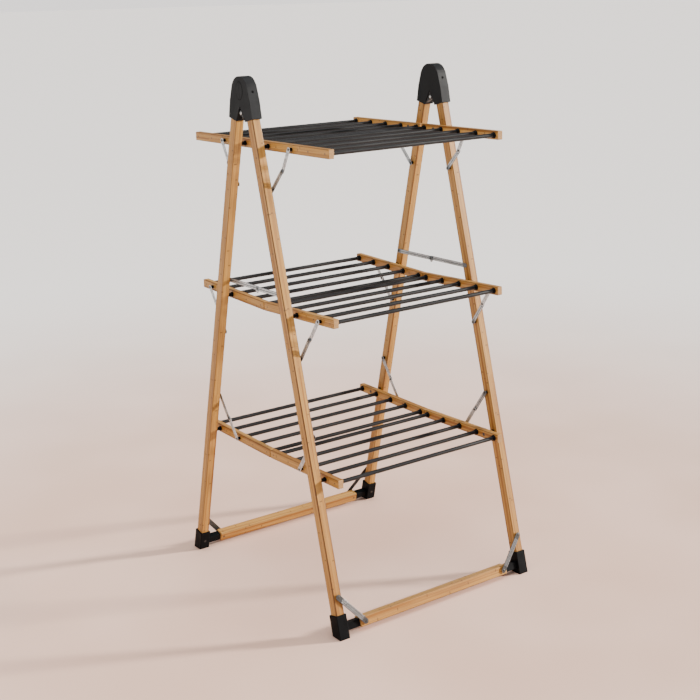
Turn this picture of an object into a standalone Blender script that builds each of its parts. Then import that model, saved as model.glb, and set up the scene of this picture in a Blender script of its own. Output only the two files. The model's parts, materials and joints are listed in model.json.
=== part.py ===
"""Free-standing three-tier folding airer: bamboo A-frame, black rods, steel stays.

Metres, +Z up.  X runs along the rods, -Y is the front, the floor is Z = 0.
Every shelf is split in two halves; the front halves hang on the front legs and
the back halves on the back legs.  All angles below are in the YZ plane.
"""
import bpy
import bmesh
from math import atan2, cos, pi, radians, sin, sqrt
from mathutils import Vector

# ---------------------------------------------------------------- driving sizes
LEG_TILT = radians(13.9)          # each leg leans this far from vertical
HINGE_Z = 1.308                   # rivet in the cap, the fold axis of the A-frame
LEG_OFFSET = 0.0336               # leg centre line to hinge axis, square to the leg
LEG_OUT_X = 0.321                 # outer faces of the legs
LEG_T = 0.024                     # leg section along X
LEG_W = 0.027                     # leg section across
LEG_TOP = 0.062                   # leg end above the hinge, along the leg
LEG_BOTTOM = 1.3470               # leg end below the hinge, along the leg
LEG_IN_X = LEG_OUT_X - LEG_T
GAP = 0.0003                      # clearance between neighbouring pieces
EASE = 0.0012                     # eased edges of the bamboo

RAIL_OUT_X = 0.2775               # outer faces of the shelf rails
RAIL_T = 0.0165
RAIL_H = 0.023
RAIL_IN_X = RAIL_OUT_X - RAIL_T
SHELF_END = 0.3185                # half depth of every shelf
SHELF_GAP = 0.0035                # half the gap between the two halves
ROD_R = 0.0055
ROD_FIRST = 0.017                 # first rod from the middle of the rack
ROD_PITCH = 0.0715
RODS = 5                          # per half
ROD_LAND = 0.009                  # rod set this deep in each rail
BOSS_R = 0.0065                   # black spacer at each shelf pivot

# name, height of the pivot, lean of the resting half, stays below or above
SHELVES = (
    ("top", 1.2245, radians(0.0), 1),
    ("middle", 0.8035, radians(1.9), 1),
    ("bottom", 0.3910, radians(1.0), -1),
)

STAY_ON_RAIL = 0.105              # stay pin on the rail, from the shelf pivot
STAY_ON_LEG = 0.112               # stay pin on the leg, from the shelf pivot
RAIL_LINK = 0.064
LEG_LINK = 0.071
LINK_W = 0.012
LINK_T = 0.0018
PIN_R = 0.0045
RAIL_LINK_X = 0.2862              # inner faces of the two link layers
LEG_LINK_X = 0.2885

SPREADER_Z = 0.849
SPREADER_W = 0.012
SPREADER_T = 0.0018
SPREADER_X = (0.2942, 0.2918)     # inner faces: front link, back link

BAR_T = 0.027                     # cross bar section, square to the leg
BAR_H = 0.026                     # and along the leg
BAR_S = 1.3322                    # its centre, along the leg from the hinge
FOOT_WALL = 0.0035
FOOT_TOP = 0.058
STUB_X = 0.2525                   # where the bar butts against the foot's stub
STUB_HALF = 0.0100                # half the stub's square section
TONGUE = 0.020                    # tongue of the foot inside the bar end
TONGUE_HALF = 0.0070

BRACE_T = 0.0020
BRACE_W = 0.0145

CAP_WALL = 0.003
CAP_OUT_X = LEG_OUT_X + CAP_WALL
CAP_IN_X = LEG_IN_X - CAP_WALL
RIVET_R = 0.0040
RIVET_HEAD_R = 0.0058

FRONT = -1
BACK = 1
LEFT = -1
RIGHT = 1
DEPTH_NAME = {FRONT: "front", BACK: "back"}
SIDE_NAME = {LEFT: "left", RIGHT: "right"}

COLOURS = {
    "bamboo": ((0.62, 0.34, 0.13, 1.0), 0.45, 0.0),
    "rod": ((0.015, 0.015, 0.017, 1.0), 0.35, 0.0),
    "plastic": ((0.035, 0.035, 0.038, 1.0), 0.60, 0.0),
    "steel": ((0.60, 0.61, 0.62, 1.0), 0.32, 1.0),
}


# ---------------------------------------------------------------- helpers
def clear_scene():
    for obj in list(bpy.data.objects):
        bpy.data.objects.remove(obj, do_unlink=True)


def material(name, colour):
    """One Principled material per object, from the shared colour table."""
    rgba, roughness, metallic = COLOURS[colour]
    mat = bpy.data.materials.new(name)
    mat.use_nodes = True
    shader = mat.node_tree.nodes["Principled BSDF"]
    shader.inputs["Base Color"].default_value = rgba
    shader.inputs["Roughness"].default_value = roughness
    shader.inputs["Metallic"].default_value = metallic
    mat.diffuse_color = rgba
    return mat


def prism(points, x0, x1):
    """A bmesh prism: the YZ outline `points`, extruded from x0 to x1."""
    if x1 < x0:
        x0, x1 = x1, x0
    area = 0.0
    for (y0, z0), (y1, z1) in zip(points, points[1:] + points[:1]):
        area += y0 * z1 - y1 * z0
    if area < 0.0:
        points = points[::-1]
    bm = bmesh.new()
    low = [bm.verts.new((x0, y, z)) for y, z in points]
    high = [bm.verts.new((x1, y, z)) for y, z in points]
    bm.faces.new(low[::-1])
    bm.faces.new(high)
    count = len(points)
    for i in range(count):
        j = (i + 1) % count
        bm.faces.new((low[i], low[j], high[j], high[i]))
    return bm


def slab(points, y0, y1):
    """The XZ outline `points`, extruded from y0 to y1."""
    bm = bmesh.new()
    near = [bm.verts.new((x, y0, z)) for x, z in points]
    far = [bm.verts.new((x, y1, z)) for x, z in points]
    bm.faces.new(near)
    bm.faces.new(far[::-1])
    for i in range(len(points)):
        j = (i + 1) % len(points)
        bm.faces.new((near[i], far[i], far[j], near[j]))
    bmesh.ops.recalc_face_normals(bm, faces=bm.faces)
    return bm


def disc(centre, radius, sides, start=0.0):
    cy, cz = centre
    step = 2.0 * pi / sides
    return [(cy + radius * cos(start + i * step), cz + radius * sin(start + i * step))
            for i in range(sides)]


def capsule(a, b, radius, sides=8):
    """Outline of a strap with round ends from a to b."""
    lean = atan2(b[1] - a[1], b[0] - a[0])
    points = []
    for (cy, cz), start in ((b, lean - pi / 2), (a, lean + pi / 2)):
        for i in range(sides + 1):
            turn = start + pi * i / sides
            points.append((cy + radius * cos(turn), cz + radius * sin(turn)))
    return points


def box_outline(y0, y1, z0, z1, ease=0.0):
    if not ease:
        return [(y0, z0), (y1, z0), (y1, z1), (y0, z1)]
    return [(y0 + ease, z0), (y1 - ease, z0), (y1, z0 + ease), (y1, z1 - ease),
            (y1 - ease, z1), (y0 + ease, z1), (y0, z1 - ease), (y0, z0 + ease)]


def to_object(bm, name):
    mesh = bpy.data.meshes.new(name)
    bmesh.ops.recalc_face_normals(bm, faces=bm.faces)
    bm.to_mesh(mesh)
    bm.free()
    obj = bpy.data.objects.new(name, mesh)
    bpy.context.scene.collection.objects.link(obj)
    return obj


def combine(obj, bm, operation):
    """Boolean the bmesh into obj and keep only the result."""
    tool = to_object(bm, obj.name + "_tool")
    tool.matrix_world = obj.matrix_world
    mod = obj.modifiers.new("cut", "BOOLEAN")
    mod.operation = operation
    mod.solver = "EXACT"
    mod.object = tool
    graph = bpy.context.evaluated_depsgraph_get()
    result = bpy.data.meshes.new_from_object(obj.evaluated_get(graph))
    obj.modifiers.remove(mod)
    obj.data = result
    bpy.data.objects.remove(tool, do_unlink=True)


def finish(obj, colour, parent):
    obj.data.materials.clear()
    obj.data.materials.append(material(obj.name, colour))
    obj.data.shade_smooth()
    obj.data.set_sharp_from_angle(angle=radians(30))
    obj.parent = parent
    return obj


def axis_empty(name, y, z, lean):
    """An empty on an axis that runs along X through (y, z), leaning by `lean`."""
    empty = bpy.data.objects.new(name, None)
    empty.empty_display_size = 0.03
    empty.location = (0.0, y, z)
    empty.rotation_euler = (lean, 0.0, 0.0)
    bpy.context.scene.collection.objects.link(empty)
    return empty


def make(name, parts, colour, parent, cuts=()):
    """Union the prisms in `parts`, cut the prisms in `cuts`, one object out."""
    obj = to_object(parts[0], name)
    for extra in parts[1:]:
        combine(obj, extra, "UNION")
    for cut in cuts:
        combine(obj, cut, "DIFFERENCE")
    return finish(obj, colour, parent)


# ---------------------------------------------------------------- geometry
def leg_s(z):
    """Distance down the leg centre line from the hinge to height z."""
    return (HINGE_Z + LEG_OFFSET * sin(LEG_TILT) - z) / cos(LEG_TILT)


def leg_point(s, depth, across=LEG_OFFSET):
    """World (y, z) of a point s down the leg."""
    y = across * cos(LEG_TILT) + s * sin(LEG_TILT)
    z = HINGE_Z + across * sin(LEG_TILT) - s * cos(LEG_TILT)
    return depth * y, z


def turned(point, angle):
    y, z = point
    return y * cos(angle) - z * sin(angle), y * sin(angle) + z * cos(angle)


def fold_centre(z, lean):
    """Axis about which a back half folds against its front half.

    It lies in the middle of the rack.  Both halves turn by the same amount,
    and it brings the back half onto the back leg when the rack is closed.
    """
    y, _ = leg_point(leg_s(z), BACK)
    turn = pi / 2 + lean
    # hinge point (dy, dz) from the pivot with y + dy = 0 before and after
    dy = -y
    dz = (-LEG_OFFSET - dy * cos(turn)) / sin(turn)
    return z + dz


def knee(rail_pin, leg_pin, pivot):
    """Where the two links of a stay meet: on the side away from the pivot."""
    ay, az = rail_pin
    by, bz = leg_pin
    span = sqrt((by - ay) ** 2 + (bz - az) ** 2)
    along = (span ** 2 + RAIL_LINK ** 2 - LEG_LINK ** 2) / (2 * span)
    rise = sqrt(max(RAIL_LINK ** 2 - along ** 2, 0.0))
    ty, tz = (by - ay) / span, (bz - az) / span
    options = []
    for sign in (-1, 1):
        options.append((ay + along * ty - sign * rise * tz, az + along * tz + sign * rise * ty))
    return max(options, key=lambda p: (p[0] - pivot[0]) ** 2 + (p[1] - pivot[1]) ** 2)


# ---------------------------------------------------------------- A-frame
def build_leg(depth, side, parent):
    """Leg in its own frame: Z up along the leg, origin on the hinge axis."""
    name = f"{DEPTH_NAME[depth]}_{SIDE_NAME[side]}_leg"
    centre = depth * LEG_OFFSET
    half = LEG_W / 2
    stick = prism(box_outline(centre - half, centre + half, -LEG_BOTTOM, LEG_TOP),
                  side * LEG_IN_X, side * LEG_OUT_X)
    long_edges = [e for e in stick.edges
                  if abs(e.verts[0].co.z - e.verts[1].co.z) > 0.5]
    bmesh.ops.bevel(stick, geom=long_edges, offset=EASE, segments=1, affect="EDGES")
    parts = [stick]
    for _, z, _, _ in SHELVES:
        boss = disc((centre, -leg_s(z)), BOSS_R, 16)
        parts.append(prism(boss, side * (RAIL_OUT_X + GAP), side * (LEG_IN_X + 0.004)))
    return make(name, parts, "bamboo", parent)


def build_foot(depth, side, parent):
    """Plastic shoe under the leg, with a stub and a tongue for the cross bar."""
    name = f"{DEPTH_NAME[depth]}_{SIDE_NAME[side]}_foot"
    wall = FOOT_WALL
    outline = []
    for across in (LEG_OFFSET - LEG_W / 2 - wall, LEG_OFFSET + LEG_W / 2 + wall):
        base = (HINGE_Z + across * sin(LEG_TILT)) / cos(LEG_TILT)
        outline.append(((depth * across, -base), (depth * across, -leg_s(FOOT_TOP))))
    shoe = [outline[0][0], outline[1][0], outline[1][1], outline[0][1]]
    centre = depth * LEG_OFFSET
    stub = square_outline(centre, STUB_HALF)
    tongue = square_outline(centre, TONGUE_HALF)
    parts = [
        prism(shoe, side * (LEG_IN_X - wall), side * (LEG_OUT_X + wall)),
        prism(stub, side * STUB_X, side * (LEG_IN_X - 0.001)),
        prism(tongue, side * (STUB_X - TONGUE), side * (STUB_X + 0.001)),
    ]
    hold = LEG_W / 2 + GAP
    pocket = box_outline(centre - hold, centre + hold, -LEG_BOTTOM - GAP, 0.0)
    cuts = [prism(pocket, side * (LEG_IN_X - GAP), side * (LEG_OUT_X + GAP))]
    return make(name, parts, "plastic", parent, cuts)


def square_outline(centre, half):
    """Square about the cross bar's middle, in the leaning frame."""
    return box_outline(centre - half, centre + half, -BAR_S - half, -BAR_S + half)


def build_bar(depth, parent):
    centre = depth * LEG_OFFSET
    outline = box_outline(centre - BAR_T / 2, centre + BAR_T / 2,
                          -BAR_S - BAR_H / 2, -BAR_S + BAR_H / 2, EASE)
    end = STUB_X - GAP
    hole = square_outline(centre, TONGUE_HALF + GAP)
    cuts = [prism(hole, side * (STUB_X - TONGUE - GAP), side * (STUB_X + 0.01))
            for side in (LEFT, RIGHT)]
    return make(f"{DEPTH_NAME[depth]}_cross_bar", [prism(outline, -end, end)],
                "bamboo", parent, cuts)


def build_brace(depth, side, parent):
    """Steel strap on the outside face, from the leg down to the cross bar."""
    name = f"{DEPTH_NAME[depth]}_{SIDE_NAME[side]}_brace"
    top = Vector((side * (LEG_OUT_X - LEG_T / 2), 0.0, -BAR_S + 0.082))
    low = Vector((side * 0.238, 0.0, -BAR_S))
    skin = depth * (LEG_OFFSET + LEG_W / 2 + GAP)
    face = depth * (LEG_OFFSET + LEG_W / 2 + FOOT_WALL + GAP)
    strap = slab(capsule((top.x, top.z), (low.x, low.z), BRACE_W / 2, 6),
                 face, face + depth * BRACE_T)
    pads = [slab(disc((end.x, end.z), 0.0045, 12), skin, face + depth * 0.0005)
            for end in (top, low)]
    return make(name, [strap] + pads, "steel", parent)


def cap_outline():
    """Half of the arch, for the back leg: world (y, z) about the hinge."""
    arch = [(0.00025, 0.0920), (0.0080, 0.0915), (0.0160, 0.0893), (0.0240, 0.0850),
            (0.0310, 0.0783), (0.0365, 0.0690)]
    sleeve = [(0.0480, 0.0310), (0.0561, -0.0128), (0.0215, -0.0215)]
    notch = [(0.00025, 0.0170)]
    return arch + sleeve + notch


def build_cap(depth, side, parent):
    """Half of the cap: a sleeve over the leg with one leaf of the hinge."""
    name = f"{SIDE_NAME[side]}_{DEPTH_NAME[depth]}_cap"
    outline = [(depth * y, z) for y, z in cap_outline()]
    leaf = [(depth * y, z) for y, z in
            ((0.0, -0.0075), (0.0, 0.0075), (0.0, 0.0150), (0.0020, 0.0200),
             (0.0250, -0.0130), (0.0225, -0.0190))]
    middle = (CAP_IN_X + CAP_OUT_X) / 2
    if depth == FRONT:
        layer = (middle + GAP, CAP_OUT_X - 0.003)
    else:
        layer = (CAP_IN_X + 0.003, middle - GAP)
    knuckle = disc((0.0, 0.0), 0.0078, 20, pi / 20)
    parts = [
        prism(outline, side * CAP_IN_X, side * CAP_OUT_X),
        prism(leaf, side * layer[0], side * layer[1]),
        prism(knuckle, side * layer[0], side * layer[1]),
    ]
    hold = LEG_W / 2 + GAP
    pocket = []
    for across, s in ((LEG_OFFSET - hold, -LEG_TOP - GAP), (LEG_OFFSET + hold, -LEG_TOP - GAP),
                      (LEG_OFFSET + hold, 0.09), (LEG_OFFSET - hold, 0.09)):
        y, z = leg_point(s, depth, across)
        pocket.append((y, z - HINGE_Z))
    cuts = [
        prism(pocket, side * (LEG_IN_X - GAP), side * (LEG_OUT_X + GAP)),
        prism(disc((0.0, 0.0), RIVET_R + GAP, 16), side * (CAP_IN_X - 0.01),
              side * (CAP_OUT_X + 0.01)),
    ]
    return make(name, parts, "plastic", parent, cuts)


def build_rivet(side, parent):
    name = f"{SIDE_NAME[side]}_cap_rivet"
    low = CAP_IN_X + 0.003 - GAP
    high = CAP_OUT_X - 0.003 + GAP
    parts = [prism(disc((0.0, 0.0), RIVET_R, 16), side * (low - 0.001), side * (high + 0.001))]
    for x0, x1 in ((low - 0.0022, low), (high, high + 0.0022)):
        parts.append(prism(disc((0.0, 0.0), RIVET_HEAD_R, 16), side * x0, side * x1))
    return make(name, parts, "steel", parent)


# ---------------------------------------------------------------- shelves
def build_shelf(shelf, depth, parent, origin):
    """Half a shelf.  `origin` is its joint axis, from the pivot, leaning frame."""
    name, z, lean, _ = shelf
    pivot_y = abs(leg_point(leg_s(z), BACK)[0])
    oy, oz = origin
    half = RAIL_H / 2
    outer = SHELF_END - pivot_y
    inner = SHELF_GAP - pivot_y
    relief = (0.010, 0.012) if name == "top" else (0.0008, 0.0008)

    def place(y, up):
        return depth * y - oy, up - oz

    profile = [place(outer - EASE, -half), place(outer, -half + EASE),
               place(outer, half - EASE), place(outer - EASE, half),
               place(inner + EASE, half), place(inner, half - EASE),
               place(inner, -half + relief[1]), place(inner + relief[0], -half)]
    parts = [prism(profile, -RAIL_OUT_X, -RAIL_IN_X), prism(profile, RAIL_IN_X, RAIL_OUT_X)]
    reach = RAIL_IN_X + ROD_LAND
    for i in range(RODS):
        y = ROD_FIRST + i * ROD_PITCH - pivot_y
        parts.append(prism(disc(place(y, 0.0), ROD_R, 12, pi / 12), -reach, reach))
    rods = parts[2:]
    return make(f"{name}_{DEPTH_NAME[depth]}_shelf", [rods[0], parts[0], parts[1]] + rods[1:],
                "rod", parent)


# ---------------------------------------------------------------- stays
def build_link(name, start, end, side, x0, thick, pin, parent):
    """Steel link with a stand-off pin at its start; the frame is the start."""
    strap = capsule((0.0, 0.0), (end[0] - start[0], end[1] - start[1]), LINK_W / 2)
    low, high = pin
    parts = [
        prism(strap, side * x0, side * (x0 + thick)),
        prism(disc((0.0, 0.0), PIN_R, 12), side * low, side * high),
    ]
    return make(name, parts, "steel", parent)


def build_stays(shelf, depth, empties):
    name, z, lean, below = shelf
    half = DEPTH_NAME[depth]
    py, pz = leg_point(leg_s(z), depth)
    outward = depth * below
    ry, rz = turned((outward * STAY_ON_RAIL, 0.0), depth * lean)
    rail_pin = (py + ry, pz + rz)
    leg_pin = leg_point(leg_s(z) + below * STAY_ON_LEG, depth)
    joint = knee(rail_pin, leg_pin, (py, pz))
    rail_axis = axis_empty(f"{name}_{half}_rail_stay_axis", rail_pin[0], rail_pin[1], 0.0)
    leg_axis = axis_empty(f"{name}_{half}_leg_stay_axis", leg_pin[0], leg_pin[1], 0.0)
    for side in (LEFT, RIGHT):
        hand = SIDE_NAME[side]
        build_link(f"{name}_{half}_{hand}_rail_link", rail_pin, joint, side, RAIL_LINK_X,
                   LINK_T, (RAIL_OUT_X + GAP, RAIL_LINK_X + 0.0005), rail_axis)
        build_link(f"{name}_{half}_{hand}_leg_link", leg_pin, joint, side, LEG_LINK_X,
                   LINK_T, (LEG_LINK_X + LINK_T - 0.0005, LEG_IN_X - GAP), leg_axis)


def build_spreaders():
    for depth, x0 in zip((FRONT, BACK), SPREADER_X):
        pin = leg_point(leg_s(SPREADER_Z), depth)
        axis = axis_empty(f"{DEPTH_NAME[depth]}_spreader_axis", pin[0], pin[1], 0.0)
        for side in (LEFT, RIGHT):
            build_link(f"{SIDE_NAME[side]}_{DEPTH_NAME[depth]}_spreader", pin,
                       (0.0, pin[1]), side, x0, SPREADER_T,
                       (x0 + SPREADER_T - 0.0005, LEG_IN_X - GAP), axis)


# ---------------------------------------------------------------- assembly
def build():
    clear_scene()
    for depth in (FRONT, BACK):
        half = DEPTH_NAME[depth]
        leaning = axis_empty(f"{half}_frame_axis", 0.0, HINGE_Z, depth * LEG_TILT)
        upright = axis_empty(f"{half}_cap_axis", 0.0, HINGE_Z, 0.0)
        for side in (LEFT, RIGHT):
            build_leg(depth, side, leaning)
            build_foot(depth, side, leaning)
            build_brace(depth, side, leaning)
            build_cap(depth, side, upright)
            if depth == FRONT:
                build_rivet(side, upright)
        build_bar(depth, leaning)
    for shelf in SHELVES:
        name, z, lean, _ = shelf
        for depth in (FRONT, BACK):
            py, pz = leg_point(leg_s(z), depth)
            turn = depth * lean
            if depth == BACK and name != "top":
                centre = fold_centre(z, lean)
                origin = turned((0.0 - py, centre - pz), -turn)
                axis = axis_empty(f"{name}_back_shelf_axis", 0.0, centre, turn)
            else:
                origin = (0.0, 0.0)
                axis = axis_empty(f"{name}_{DEPTH_NAME[depth]}_shelf_axis", py, pz, turn)
            build_shelf(shelf, depth, axis, origin)
            build_stays(shelf, depth, axis)
    build_spreaders()


build()
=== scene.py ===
"""Folding bamboo airer: the looks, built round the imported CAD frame.

Metres, +Z up, the front towards -Y; left is -X.  A leg's own axes start on the hinge.
"""
import bpy
import bmesh
import json
from math import atan2, cos, pi, radians, sin, sqrt
from mathutils import Matrix, Vector


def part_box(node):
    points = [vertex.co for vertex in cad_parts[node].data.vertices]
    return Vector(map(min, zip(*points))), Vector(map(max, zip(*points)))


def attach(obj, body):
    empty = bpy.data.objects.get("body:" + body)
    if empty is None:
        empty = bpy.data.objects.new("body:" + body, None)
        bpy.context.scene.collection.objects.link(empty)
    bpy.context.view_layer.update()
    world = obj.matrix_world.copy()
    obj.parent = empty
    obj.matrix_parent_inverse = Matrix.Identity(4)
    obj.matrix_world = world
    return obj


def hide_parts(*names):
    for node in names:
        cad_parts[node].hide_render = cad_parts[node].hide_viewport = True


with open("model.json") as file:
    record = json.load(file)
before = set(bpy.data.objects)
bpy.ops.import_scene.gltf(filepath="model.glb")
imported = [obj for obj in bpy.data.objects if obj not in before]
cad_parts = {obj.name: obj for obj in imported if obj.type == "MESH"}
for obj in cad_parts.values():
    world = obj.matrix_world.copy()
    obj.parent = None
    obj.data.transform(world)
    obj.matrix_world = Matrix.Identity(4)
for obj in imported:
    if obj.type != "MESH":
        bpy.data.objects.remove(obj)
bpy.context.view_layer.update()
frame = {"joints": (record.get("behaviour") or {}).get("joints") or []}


def frame_joint(name):
    return next(joint for joint in frame["joints"] if joint["name"] == name)


def axis_height(name):
    """Height of a joint's axis."""
    return frame_joint(name)["pos_m"][2]


# ------------------------------------------------------------------ sizes, metres
shelf_low, shelf_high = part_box("top_back_shelf")
cap_low, cap_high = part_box("right_back_cap")
# folded, the legs are parallel, so each leans by half the fold
LEG_TILT = radians(frame_joint("leg_fold")["range_deg"][1] / 2)
HINGE_Z = axis_height("leg_fold")
LEG_OFFSET = 0.0336         # leg axis from the hinge, across the leg
LEG_OUT_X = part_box("front_right_leg")[1].x
LEG_T = 0.024
LEG_W = 0.027
LEG_IN_X = LEG_OUT_X - LEG_T
LEG_TOP = 0.062             # from the hinge, along the leg
LEG_BOTTOM = 1.3470
RAIL_OUT_X = shelf_high.x
RAIL_T = 0.0165
RAIL_H = 0.023
RAIL_IN_X = RAIL_OUT_X - RAIL_T
SHELF_END = shelf_high.y
TOP_GAP = shelf_low.y       # half the gap in the middle of the top shelf
TOP_RELIEF = (0.010, 0.012)  # length and height cut from its lower inner corners
SHELF_GAP = 0.0012          # half the gap in the middle of the other shelves
ROD_R = 0.0055
ROD_FIRST = 0.017
ROD_PITCH = 0.0715
RODS = 5
ROD_LAND = 0.006            # how far a rod goes into its rail
BOSS_R = 0.0065
# name, height of the pivots, lean of the resting halves, stays below (1) or above (-1)
SHELVES = (
    ("top", axis_height("top_front_shelf_fold"), radians(0.0), 1),
    ("middle", axis_height("middle_front_shelf_fold"), radians(1.9), 1),
    ("bottom", axis_height("bottom_front_shelf_fold"), radians(1.0), -1),
)
STAY_ON_RAIL = 0.105        # from the shelf pivot to the stay's pins
STAY_ON_LEG = 0.112
RAIL_LINK = 0.064
LEG_LINK = 0.071
LINK_W = 0.012
LINK_T = 0.0018
LINK_RIB_Y = 0.0030         # the two ribs, each side of the middle
LINK_FLAT = 0.011           # plain length at each end, before the ribs
STANDOFF_R = 0.0044
RAIL_LINK_X = 0.2862        # inner faces of the two layers of links
LEG_LINK_X = 0.2885
SPREADER_Z = axis_height("front_spreader_fold")
SPREADER_T = 0.0018
SPREADER_X = (0.2942, 0.2918)
BAR_T = 0.027
BAR_H = 0.026
BAR_S = 1.3322              # bar axis from the hinge, along the leg
STUB_X = 0.2525             # where the foot's stub meets the bar
STUB_HALF = 0.0100
FOOT_WALL = 0.0035
FOOT_TOP = 0.058
BRACE_T = 0.0020
BRACE_W = 0.0145
BRACE_RISE = 0.082          # its screw in the leg, above the bar
BRACE_END_X = 0.238         # its screw in the bar
BRACE_FLAT = 0.014          # plain length at each end, before the ribs
BRACE_RIB_PITCH = 0.0046
RIB_R = 0.0016
CAP_IN_X, CAP_OUT_X = cap_low.x, cap_high.x
CAP_SPLIT = 0.00004         # half the slit between the halves of a cap
CAP_SCREW = (0.0407, 0.0540)
CAP_SCREW_LEAN = atan2(0.0095, 0.0300)
LEAF_SUNK = 0.003           # hinge leaves, below the faces of the cap
PANEL_Z = 0.0560
PANEL_HALF = (0.0155, 0.0235)
GAP = 0.0003                # between pieces that touch
ON_AXIS = 1e-7              # a smaller radius is a tip
EASE = 0.0022               # rounding of the legs' and bars' long edges
RAIL_EASE = 0.0016
FERRULE_R = 0.0083
PIN_R = 0.0021
HEAD_R = 0.0036             # rivet and screw heads
KNEE_R = 0.0034             # rivet in the middle of a stay or spreader
INTO = 0.0005               # overlap inside one piece
FRONT, BACK = -1, 1
LEFT, RIGHT = -1, 1
DEPTH_NAME = {FRONT: "front", BACK: "back"}
SIDE_NAME = {LEFT: "left", RIGHT: "right"}
FRAME_BODY = {FRONT: "front_frame", BACK: "back_frame"}


# ------------------------------------------------------------------ node helpers
class Shader:
    """A material with its Principled socket setters and small node builders."""

    def __init__(self, name, colour, roughness, metallic=0.0, **extra):
        self.mat = bpy.data.materials.new(name)
        self.mat.use_nodes = True
        self.tree = self.mat.node_tree
        self.bsdf = self.tree.nodes["Principled BSDF"]
        self.bsdf.inputs["Base Color"].default_value = (*colour, 1.0)
        self.bsdf.inputs["Roughness"].default_value = roughness
        self.bsdf.inputs["Metallic"].default_value = metallic
        for key, value in extra.items():
            self.bsdf.inputs[key.replace("_", " ")].default_value = value
        self.mat.diffuse_color = (*colour, 1.0)

    def node(self, kind, **settings):
        node = self.tree.nodes.new(kind)
        for key, value in settings.items():
            setattr(node, key, value)
        return node

    def link(self, out, into):
        self.tree.links.new(out, into)

    def coords(self, scale=(1, 1, 1), shift=(0, 0, 0)):
        place = self.node("ShaderNodeTexCoord")
        mapping = self.node("ShaderNodeMapping")
        mapping.inputs["Scale"].default_value = scale
        mapping.inputs["Location"].default_value = shift
        self.link(place.outputs["Object"], mapping.inputs["Vector"])
        return mapping.outputs["Vector"]

    def noise(self, vector, scale, detail, rough=0.5):
        node = self.node("ShaderNodeTexNoise")
        node.inputs["Scale"].default_value = scale
        node.inputs["Detail"].default_value = detail
        node.inputs["Roughness"].default_value = rough
        self.link(vector, node.inputs["Vector"])
        return node.outputs["Fac"]

    def math(self, operation, a, b=None):
        node = self.node("ShaderNodeMath", operation=operation)
        for socket, value in zip(node.inputs, (a, b)):
            if value is None:
                continue
            if isinstance(value, (int, float)):
                socket.default_value = value
            else:
                self.link(value, socket)
        return node.outputs[0]

    def ramp(self, value, low, high, out_low=0.0, out_high=1.0):
        node = self.node("ShaderNodeMapRange")
        node.interpolation_type = "SMOOTHSTEP"
        for key, number in (("From Min", low), ("From Max", high),
                            ("To Min", out_low), ("To Max", out_high)):
            node.inputs[key].default_value = number
        self.link(value, node.inputs["Value"])
        return node.outputs["Result"]

    def mix(self, factor, a, b):
        node = self.node("ShaderNodeMix", data_type="RGBA")
        for socket, value in ((node.inputs[0], factor), (node.inputs[6], a), (node.inputs[7], b)):
            if isinstance(value, tuple):
                socket.default_value = (*value, 1.0)
            elif isinstance(value, (int, float)):
                socket.default_value = value
            else:
                self.link(value, socket)
        return node.outputs[2]

    def bump(self, height, strength, distance):
        node = self.node("ShaderNodeBump")
        node.inputs["Strength"].default_value = strength
        node.inputs["Distance"].default_value = distance
        self.link(height, node.inputs["Height"])
        self.link(node.outputs["Normal"], self.bsdf.inputs["Normal"])

    def base(self, colour):
        self.link(colour, self.bsdf.inputs["Base Color"])

    def rough(self, value):
        self.link(value, self.bsdf.inputs["Roughness"])


HONEY = (0.375, 0.165, 0.0235)
HONEY_PALE = (0.540, 0.300, 0.078)
HONEY_DEEP = (0.200, 0.070, 0.0090)
NODE_BROWN = (0.070, 0.026, 0.007)


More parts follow.
